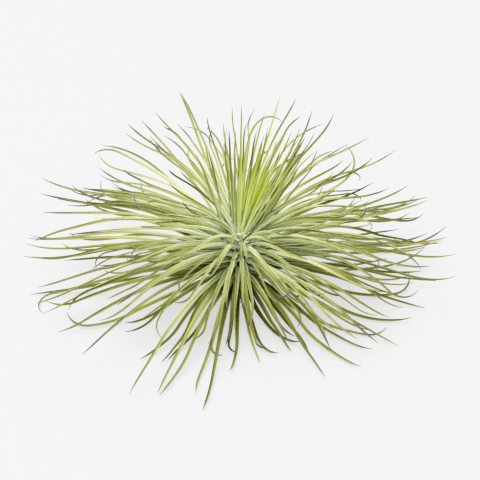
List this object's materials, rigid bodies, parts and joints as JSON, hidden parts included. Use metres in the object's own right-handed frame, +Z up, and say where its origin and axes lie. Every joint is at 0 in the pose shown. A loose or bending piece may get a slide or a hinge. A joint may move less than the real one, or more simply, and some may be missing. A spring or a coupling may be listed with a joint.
{
  "type": "air plant",
  "caption": "Loose air plant with a dense tuft of thin arching silvery green leaves, bright young leaves at its heart and a short brown stem stub to rest on.",
  "frame": {"origin": "middle of the stem stub's flat foot, on the surface that the plant rests on", "axes": "+Z up out of the tuft, +X to the right and -Y to the front as the picture shows the plant"},
  "size_m": [0.2138, 0.1669, 0.109],
  "materials": {
    "outer_leaf": "matt silvery scales over olive green",
    "heart_leaf": "satin lime green with silvery bases",
    "stub": "dry brown fibre"
  },
  "bodies": {
    "root": {"outer_leaves": "outer_leaf", "heart_leaves": "heart_leaf", "stem_stub": "stub"}
  },
  "joints": []
}
